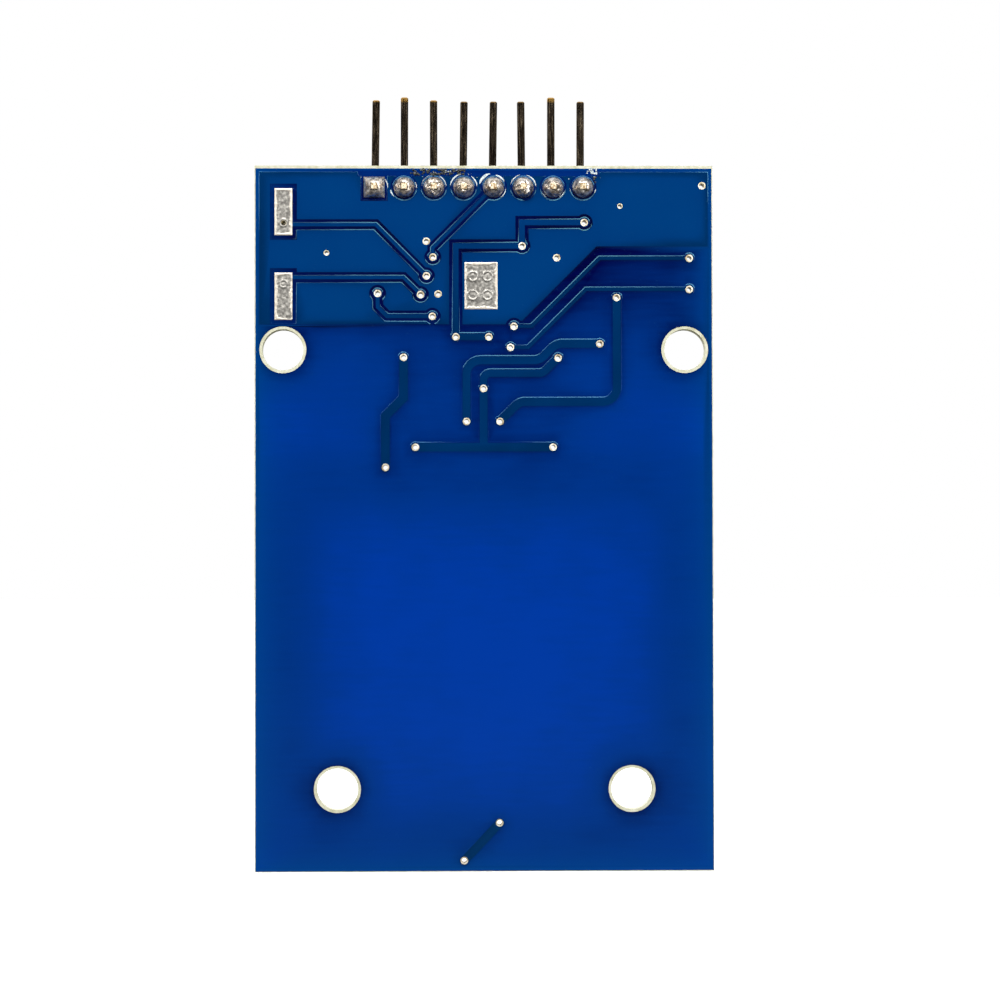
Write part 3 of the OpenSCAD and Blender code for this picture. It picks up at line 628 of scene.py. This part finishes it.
def tinned_pad(loop, number):
    lowest, highest = loop.min(0), loop.max(0)
    counts = [int(round(n / PAD_STEP)) + 1 for n in highest - lowest]
    xs, zs = (np.linspace(lowest[k], highest[k], counts[k]) for k in (0, 1))
    points, border = [], []
    for z in zs:
        for x in xs:
            spot = Vector((x, z, 5.0 * number))
            side = min(x - lowest[0], highest[0] - x, z - lowest[1], highest[1] - z)
            lip = 0.16 + 0.16 * noise.noise(spot / 0.8) + 0.05 * noise.noise(spot / 0.12)
            step = min(max((side - lip) / 0.05, 0), 1)
            height = 0.012 + 0.02 * (1 - step) * min(side / 0.05, 1) + 0.01 * noise.noise(spot / 0.25)
            for px, pz, reach in plugs:
                away = math.hypot(x - px, z - pz)
                height += 0.05 * math.exp(-((away - 0.95 * reach) / 0.07) ** 2)
                if (px, pz, reach) != open_hole:
                    height += 0.035 * math.exp(-(away / (0.5 * reach)) ** 2)
            points.append((x * MM, -(TIN + max(height, 0.001)) * MM, z * MM))
            border.append(1 - step)
    wide = counts[0]
    cells = [(r * wide + c, r * wide + c + 1, (r + 1) * wide + c + 1, (r + 1) * wide + c)
             for r in range(counts[1] - 1) for c in range(wide - 1)
             if math.hypot(xs[c] - open_hole[0], zs[r] - open_hole[1]) > OPEN_BORE]
    mesh = bpy.data.meshes.new(f"tinned_pad_{number}")
    mesh.from_pydata(points, [], cells)
    layer = mesh.attributes.new("border", "FLOAT", "POINT")
    layer.data.foreach_set("value", np.array(border, np.float32))
    mesh.polygons.foreach_set("use_smooth", [True] * len(mesh.polygons))
    mesh.update()
    piece = bpy.data.objects.new(f"tinned_pad_{number}", mesh)
    bpy.context.collection.objects.link(piece)
    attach(piece, "root")
    return piece


# tin that pulled back: grey and speckled in the middle, bright and warm along its border
dull, tree, shader = material("tin_pulled_back_from_edge", Metallic=0.7, Roughness=0.45)
speckle = pattern(tree, 0.25, CRUSTY)
middle_grey = add(tree, "ValToRGB", {"Fac": speckle},
                  stops=((0.3, "#66635e"), (0.5, "#8d8a84"), (0.7, "#c4c0b7")))
ragged = add(tree, "Attribute", attribute_name="border", out="Fac")
feed(tree, shader,
     Base_Color=add(tree, "Mix", {0: ragged, 6: middle_grey, 7: linear("#d9d0c2")}, **COLOURS),
     Normal=add(tree, "Bump", {"Height": speckle, "Distance": 0.02 * MM}))
pads = [loop for loop in flat_outline("rear_tinning", -TIN) if np.ptp(loop[:, 0]) > 1]
for number, loop in enumerate(pads):
    tinned_pad(loop, number).data.materials.append(dull)
print("pads:", len(pads), " plugs:", len(plugs))

# %% [markdown]
# ## Header
#
# The pins are square brass wire, drawn and plated, so fine lines run along them; their tips are painted
# warm brass, a painted highlight. Every corner gets a small bevel, because a mirror-sharp corner would
# never catch light. The strip they stand in is moulded black polyester.

# %% Soft corners
CORNER_SEGMENTS = 2     # enough for a corner that is under a tenth of a millimetre wide


def soften(name, width_mm):
    weld = nodes[name].modifiers.new("weld", "WELD")
    weld.merge_threshold = 1e-7
    edge = nodes[name].modifiers.new("soft_edges", "BEVEL")
    edge.width = width_mm * MM
    edge.segments = CORNER_SEGMENTS
    edge.limit_method = "ANGLE"
    edge.angle_limit = math.radians(40)
    # a wide flat face outweighs the narrow bevel beside it, so it stays flat to the light
    nodes[name].modifiers.new("flat_faces", "WEIGHTED_NORMAL")


# %% Pins
PINS = range(1, 9)
CROP = (-0.9 * MM, -0.97 * MM)          # behind this the wire is a cropped end
TIP_HIGHLIGHT = (high.z - 0.5 * MM, high.z - 0.3 * MM)        # above this the tip is painted bright brass: a painted highlight
# drawn and plated brass: dark where it mirrors the dark, with fine bright lines along it; the ends
# that stand out of the solder were cropped, so they are rough and pale, and the tips are painted bright
# brass, a painted highlight where the chamfered tip catches the light
wire, tree, shader = material("drawn_brass_wire_plated")
lines = pattern(tree, 0.07, GRITTY, stretch=(1, 1, 0.03))
stain = add(tree, "MapRange", {"Value": pattern(tree, 0.9, GRITTY), **NOISE_SPAN, "To Min": 0, "To Max": 0.6})
drawn_wire = add(tree, "ValToRGB", {"Fac": lines},
                 stops=((0.3, "#38302a"), (0.5, "#5c5043"), (0.7, "#94836a")))
drawn_wire = add(tree, "Mix", {0: stain, 6: drawn_wire, 7: linear("#40392f")}, **COLOURS)
place = add(tree, "TexCoord", out="Object")
depth, rise = (add(tree, "SeparateXYZ", {0: place}, out=axis) for axis in "YZ")
cropped = add(tree, "MapRange", {"Value": depth, "From Min": CROP[0], "From Max": CROP[1]})
tip_highlight = add(tree, "MapRange", {"Value": rise, "From Min": TIP_HIGHLIGHT[0], "From Max": TIP_HIGHLIGHT[1]})
drawn_wire = add(tree, "Mix", {0: tip_highlight, 6: drawn_wire, 7: linear("#d8a858")}, **COLOURS)
torn = add(tree, "ValToRGB", {"Fac": pattern(tree, 0.2, GRITTY)},
           stops=((0.35, "#8a6238"), (0.45, "#cdb892"), (0.58, "#f6ead2")))
rough = add(tree, "MapRange", {"Value": lines, **NOISE_SPAN, "To Min": 0.14, "To Max": 0.3})
feed(tree, shader,
     Base_Color=add(tree, "Mix", {0: cropped, 6: drawn_wire, 7: torn}, **COLOURS),
     Metallic=add(tree, "MapRange", {"Value": cropped, "To Min": 1.0, "To Max": 0.3}),
     Roughness=add(tree, "Math", {0: rough, 1: cropped}, operation="MAXIMUM"),
     Normal=add(tree, "Bump", {"Height": lines, "Distance": 0.015 * MM}))
for i in PINS:
    soften(f"header_pin_{i}", 0.06)
    dress(wire, f"header_pin_{i}")
print("pins:", len(PINS), " tips at", round(high.z / MM, 2), "mm")

# %% Header strip
# moulded polyester: black, half matt, with the faint grain of the mould
strip, tree, shader = material("moulded_black_polyester", Roughness=0.45)
pits = pattern(tree, 0.15, GRITTY)
blacks = add(tree, "ValToRGB", {"Fac": pits}, stops=((0.3, "#151517"), (0.7, "#26262a")))
feed(tree, shader, Base_Color=blacks,
     Normal=add(tree, "Bump", {"Height": pits, "Distance": 0.01 * MM}))
soften("header_body", 0.08)
dress(strip, "header_body")

# %% [markdown]
# ## Solder joints
#
# Each joint was made by hand, so no two are alike. A joint is a ring of points lowered from the pin
# to the land: its height falls off along a curve, and slow noise bends the curve. One joint froze
# while it moved and is crystalline, one carries a second drop, and the first sits on a square land.

# %% What sets each joint apart
LAND = 0.9              # radius of a land, in mm
PEAK, CEILING = 0.8, 0.89       # a joint's usual height and the most it may reach, in mm
PLUG = 0.5              # radius of the solder in the plated hole
SPOKES = 72
# the height at each radius, from the pin out to the land
CURVE = [(0.0, PEAK), (0.36, PEAK), (0.46, 0.75), (0.56, 0.66), (0.66, 0.52), (0.74, 0.4), (0.8, 0.28),
         (0.85, 0.17), (0.885, 0.07), (0.9, 0.0)]
CHARACTER = {
    1: dict(ripple=0.12, size=0.55, grit=0.01),
    2: dict(ripple=0.22, size=0.4, grit=0.02),
    3: dict(ripple=0.14, size=0.3, grit=0.09),
    4: dict(ripple=0.18, size=0.35, grit=0.02),
    5: dict(ripple=0.14, size=0.55, grit=0.015),
    6: dict(ripple=0.24, size=0.35, grit=0.02, drop=(0.32, -0.55, 0.32, 0.4)),
    7: dict(ripple=0.15, size=0.4, grit=0.035),
    8: dict(ripple=0.16, size=0.45, grit=0.02)}


def joint_middle(i):
    low_corner, high_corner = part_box(f"solder_joint_{i}")
    return (low_corner + high_corner) / 2 / MM


print("joints stand", round(joint_middle(2).x - joint_middle(1).x, 2), "mm apart")

# %% [markdown]
# The mesh is a fan round the pin and rings outwards from it. The last two rings go down through the
# plated hole, so that the joint is one closed piece of solder from face to face.

# %% Solder joints
def joint(i):
    ways = CHARACTER[i]
    middle = joint_middle(i)
    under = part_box(f"solder_joint_{i}")[1].y / MM - 0.001
    seat = -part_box("rear_tinning")[0].y / MM
    radii = sorted({r * k / 4 + q * (4 - k) / 4 for (r, _), (q, _) in zip(CURVE, CURVE[1:])
                    for k in range(4)} | {LAND})[1:]
    points, skin = [(middle.x, -seat - PEAK, middle.z)], []
    for r in radii:
        height = float(np.interp(r, *zip(*CURVE)))
        for k in range(SPOKES):
            angle = 2 * math.pi * k / SPOKES
            u, v = math.cos(angle), math.sin(angle)
            reach = r
            if i == 1:      # a square land: the foot spreads into the corners, the top stays round
                square = 1 / max(abs(u), abs(v))
                reach = r * (1 + (square - 1) * (r / LAND) ** 3)
            x, z = reach * u, reach * v
            spot = Vector((x, z, 3.7 * i))
            lift = ways["ripple"] * noise.noise(spot / ways["size"])
            lift += ways["grit"] * noise.noise(spot / 0.07) + 0.4 * ways["grit"] * noise.noise(spot / 0.03)
            if "drop" in ways:
                dx, dz, wide, tall = ways["drop"]
                near = 1 - ((x - dx) ** 2 + (z - dz) ** 2) / wide ** 2
                lift += tall * math.sqrt(max(near, 0))
            rim = min(1, (LAND - r) / 0.12)
            top = min(max(height + lift * rim, 0), CEILING)
            points.append((middle.x + x, -seat - top, middle.z + z))
    rings = len(radii)
    for k in range(SPOKES):
        n = (k + 1) % SPOKES
        skin.append((0, 1 + k, 1 + n))
        for ring in range(rings - 1):
            p, q = 1 + ring * SPOKES, 1 + (ring + 1) * SPOKES
            skin.append((p + k, q + k, q + n, p + n))
    # the plug of solder in the plated hole, down to the component side
    last = 1 + (rings - 1) * SPOKES
    for y in (-seat, under):
        first = len(points)
        points += [(middle.x + PLUG * math.cos(2 * math.pi * k / SPOKES), y,
                    middle.z + PLUG * math.sin(2 * math.pi * k / SPOKES)) for k in range(SPOKES)]
        for k in range(SPOKES):
            n = (k + 1) % SPOKES
            skin.append((last + k, first + k, first + n, last + n))
        last = first
    skin.append(tuple(last + k for k in range(SPOKES)))
    mesh = bpy.data.meshes.new(f"joint_{i}")
    mesh.from_pydata([tuple(c * MM for c in p) for p in points], [], skin)
    mesh.validate()
    build = bmesh.new()
    build.from_mesh(mesh)
    bmesh.ops.recalc_face_normals(build, faces=build.faces)
    build.to_mesh(mesh)
    build.free()
    mesh.polygons.foreach_set("use_smooth", [True] * len(mesh.polygons))
    mesh.update()
    piece = bpy.data.objects.new(f"joint_{i}", mesh)
    bpy.context.collection.objects.link(piece)
    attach(piece, "root")
    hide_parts(f"solder_joint_{i}")
    return piece


# hand-fed tin and lead: bright grey with duller, warmer clouds where it cooled slowly
solder, tree, shader = material("tin_lead_solder_hand_fed", Metallic=0.85)
flow = pattern(tree, 0.35, CRUSTY)
warm = add(tree, "MapRange", {"Value": pattern(tree, 0.8, CLOUDY), **NOISE_SPAN, "To Min": 0, "To Max": 0.4})
grey = add(tree, "ValToRGB", {"Fac": flow}, stops=((0.32, "#6d6a68"), (0.47, "#cac4bb"), (0.6, "#fffaf2")))
feed(tree, shader,
     Base_Color=add(tree, "Mix", {0: warm, 6: grey, 7: linear("#d9b186")}, **COLOURS),
     Roughness=add(tree, "MapRange", {"Value": flow, **NOISE_SPAN, "To Min": 0.14, "To Max": 0.4}),
     Normal=add(tree, "Bump", {"Height": flow, "Distance": 0.06 * MM}))
joints = [joint(i) for i in PINS]
for piece in joints:
    piece.data.materials.append(solder)
print("joints:", len(joints), "with", len(joints[0].data.polygons), "faces each")

# %% [markdown]
# ## Flux residue, and painted highlights round the lands
#
# Rosin flux boils out of the joint while it is soldered and dries into brittle grains, and gathers in
# a crust along the header edge. The pale crescents in the groove between a land and the copper round
# it are painted highlight: pale grains stand where the lacquer's edge round the land shows a bright
# line. Grains are flattened balls, each pushed about by noise.

# %% Grains of residue
GRAIN_DEPTH = -0.05     # where a grain's middle lies, in mm


def grains(name, spots, finish):
    """spots: (x, z, half width, half height, half depth), all in mm."""
    build = bmesh.new()
    for n, (x, z, wide, tall, deep) in enumerate(spots):
        made = bmesh.ops.create_icosphere(build, subdivisions=2, radius=1.0)
        for vert in made["verts"]:
            push = 1 + 0.45 * noise.noise(vert.co * 1.7 + Vector((n, 0, 0)))
            vert.co = Vector((x + vert.co.x * wide * push, GRAIN_DEPTH + vert.co.y * deep * push,
                              z + vert.co.z * tall * push)) * MM
    mesh = bpy.data.meshes.new(name)
    build.to_mesh(mesh)
    build.free()
    mesh.polygons.foreach_set("use_smooth", [True] * len(mesh.polygons))
    mesh.materials.append(finish)
    piece = bpy.data.objects.new(name, mesh)
    bpy.context.collection.objects.link(piece)
    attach(piece, "root")
    return piece


def crescent(i, start, stop, radius, wide):
    middle = joint_middle(i)
    count = int(abs(stop - start) / 3)
    for k in range(count + 1):
        angle = math.radians(start + (stop - start) * k / count)
        taper = math.sin(math.pi * (k + 0.6) / (count + 1.2)) ** 0.5
        yield (middle.x + radius * math.cos(angle), middle.z + radius * math.sin(angle),
               wide * taper, wide * taper, 0.035)


def strewn(count, x_from, x_to, z_from, z_to, least, most, seed):
    """Grains strewn over a patch, each from a seeded draw."""
    draw = np.random.default_rng(seed)
    for _ in range(count):
        size = draw.uniform(least, most)
        yield (draw.uniform(x_from, x_to), draw.uniform(z_from, z_to), size * draw.uniform(0.7, 1.5),
               size, 0.03)


# %% [markdown]
# Dried rosin is glossy and cracked. Where the iron stayed short it is pale, and where it stayed long
# the rosin is scorched nearly black. The pale finish also serves the painted highlight of the crescents.

# %% Residue finishes
RESIDUE = {"dried_rosin_flux_and_painted_highlight": (0.12, 0.3, ((0.3, "#7f9099"), (0.6, "#d3dcde"))),
           "scorched_rosin_flux": (0.15, 0.35, ((0.3, "#020607"), (0.5, "#0a100d"), (0.7, "#2c3327")))}
finishes = []
for name, (crack_mm, roughness, stops) in RESIDUE.items():
    finish, tree, shader = material(name, Roughness=roughness)
    cracks = pattern(tree, crack_mm, GRITTY)
    feed(tree, shader, Base_Color=add(tree, "ValToRGB", {"Fac": cracks}, stops=stops),
         Normal=add(tree, "Bump", {"Height": cracks, "Distance": 0.02 * MM}))
    finishes.append(finish)
rosin_and_highlight, burnt = finishes
print("finishes of the residue:", list(RESIDUE))

# %% Residue and painted highlights in their places
# painted highlight: the arcs of pale grains round the lands stand for the bright line on the lacquer's edge
# there; the grains strewn after them are pale residue
# each arc: the joint, the angles where it starts and stops, its radius and half width in mm
highlight_arcs_and_pale_residue = [spot for arc in ((1, 38, -5, 1.16, 0.05), (2, 25, -5, 1.06, 0.05), (2, 222, 192, 1.16, 0.07),
                         (3, 175, 90, 1.06, 0.03), (3, 65, 5, 1.06, 0.05), (4, 175, 100, 1.14, 0.07),
                         (4, 55, 5, 1.14, 0.07), (5, 165, 105, 1.2, 0.13), (5, 80, 30, 1.05, 0.08),
                         (5, -5, -55, 1.06, 0.05), (6, 165, 105, 1.1, 0.05), (6, 75, 5, 1.08, 0.06),
                         (7, 205, 235, 1.02, 0.04), (7, -20, -60, 1.02, 0.05), (8, 200, 185, 1.1, 0.03),
                         (8, -10, -25, 1.1, 0.05))
        for spot in crescent(*arc)]
edge_z = board_high[1]
joint_x = [joint_middle(i).x for i in PINS]
highlight_arcs_and_pale_residue += strewn(18, joint_x[1] + 0.3, joint_x[3] + 0.8, edge_z - 0.85, edge_z - 0.3, 0.02, 0.05, 3)
highlight_arcs_and_pale_residue += strewn(22, joint_x[7] + 0.2, joint_x[7] + 1.2, edge_z - 0.75, edge_z - 0.25, 0.03, 0.1, 4)
highlight_arcs_and_pale_residue += strewn(10, joint_x[0] - 1.5, joint_x[7] + 1.5, edge_z - 1.2, edge_z - 0.9, 0.02, 0.05, 5)
dark = list(strewn(75, joint_x[1] + 0.4, joint_x[3] + 0.1, edge_z - 0.78, edge_z - 0.3, 0.05, 0.12, 6))
dark += strewn(9, joint_x[7] + 0.85, joint_x[7] + 1.1, edge_z - 1.4, edge_z - 0.8, 0.05, 0.09, 7)
grains("pale_flux_residue_and_painted_highlight", highlight_arcs_and_pale_residue, rosin_and_highlight)
grains("flux_residue_dark", dark, burnt)
print("grains of flux:", len(highlight_arcs_and_pale_residue), "pale,", len(dark), "dark")

# %% [markdown]
# ## Parts on the component side
#
# Chip resistors and capacitors are fired ceramic with plated ends, the reader chip is moulded in
# black resin, the crystal is sealed in a pressed steel can, and the inductors are ground ferrite.

# %% Finishes of the parts
def grained(name, size_mm, *stops, stretch=(1, 1, 1), **sockets):
    finish, tree, shader = material(name, **sockets)
    lumps = pattern(tree, size_mm, GRITTY, stretch)
    feed(tree, shader, Base_Color=add(tree, "ValToRGB", {"Fac": lumps}, stops=stops),
         Normal=add(tree, "Bump", {"Height": lumps, "Distance": 0.01 * MM}))
    return finish


# filled epoxy, moulded: black and nearly matt
resin = grained("moulded_epoxy_chip_body", 0.1, (0.3, "#1b1b1d"), (0.7, "#2c2c30"), Roughness=0.55)
# nickel silver, deep drawn: a soft mirror with faint lines
steel = grained("pressed_nickel_silver_can", 0.25, (0.3, "#b9b8b3"), (0.7, "#dddcd6"),
                stretch=(1, 1, 0.2), Metallic=1.0, Roughness=0.28)
# tin, barrel plated: silky grey
ends = grained("barrel_plated_tin_ends", 0.2, (0.3, "#a9aaa8"), (0.7, "#d9d9d4"),
               Metallic=1.0, Roughness=0.38)
# gold flash: thin, warm and bright
gold = grained("gold_flash_terminals", 0.2, (0.3, "#d9ae5c"), (0.7, "#f0cc80"),
               Metallic=1.0, Roughness=0.3)
# barium titanate, fired: tan, like unglazed pottery
ceramic = grained("fired_barium_titanate", 0.12, (0.3, "#9a7350"), (0.7, "#bb9069"), Roughness=0.5)
# glass glaze, fused: black and wet-looking
glaze = grained("black_glass_glaze", 0.15, (0.3, "#0f0f12"), (0.7, "#1f1f25"), Roughness=0.25)
# ferrite, ground: dull brown-grey
ferrite = grained("ground_ferrite", 0.08, (0.3, "#2c2825"), (0.7, "#49433f"), Roughness=0.7)
# filled white resin, moulded: ivory and even
ivory = grained("moulded_white_lamp_body", 0.15, (0.3, "#dcdacb"), (0.7, "#f0eee2"), Roughness=0.5)
# clear epoxy over phosphor, cast: pale yellow and glossy
lens = grained("cast_clear_epoxy_lens", 0.3, (0.3, "#e4e0b4"), (0.7, "#f2efcf"), Roughness=0.15)
# the crystal's insulating plate, moulded: black and matt
base = grained("moulded_black_base", 0.12, (0.3, "#19191b"), (0.7, "#2b2b2e"), Roughness=0.6)
# epoxy ink, screen printed: chalky white
ink = grained("screen_printed_white_ink", 0.12, (0.3, "#d4d6d2"), (0.7, "#f4f5f1"), Roughness=0.7)
# reflowed solder: bright, smoother than the joints made by hand
fillet = grained("reflowed_solder_fillet", 0.3, (0.3, "#9c9b98"), (0.7, "#cfcfca"),
                 Metallic=0.9, Roughness=0.3)
print("materials so far:", len(bpy.data.materials))

# %% Parts
dress(resin, "reader_chip_body")
dress(steel, "crystal_can")
dress(base, "crystal_base")
dress(ends, "reader_chip_terminals", "crystal_leads", "inductor_terminals", "chip_end_caps")
dress(gold, "indicator_terminals")
dress(ivory, "indicator_body")
dress(lens, "indicator_lens")
dress(ferrite, "inductor_1", "inductor_2")
dress(ceramic, *(f"capacitor_{i}" for i in range(1, 13)))
dress(glaze, *(f"resistor_{i}" for i in range(1, 5)))
dress(ink, "front_legend")
dress(fillet, "component_solder")
CORNERS = {"reader_chip_body": 0.06, "crystal_can": 0.2, "crystal_base": 0.06, "chip_end_caps": 0.04,
           "inductor_terminals": 0.08, "inductor_1": 0.05, "inductor_2": 0.05, "indicator_lens": 0.05,
           "indicator_terminals": 0.03}       # how far each corner is worn or moulded round, in mm
for name, width in CORNERS.items():
    soften(name, width)
print("dressed nodes:", sum(bool(o.data.materials) for o in nodes.values()), "of", len(nodes))
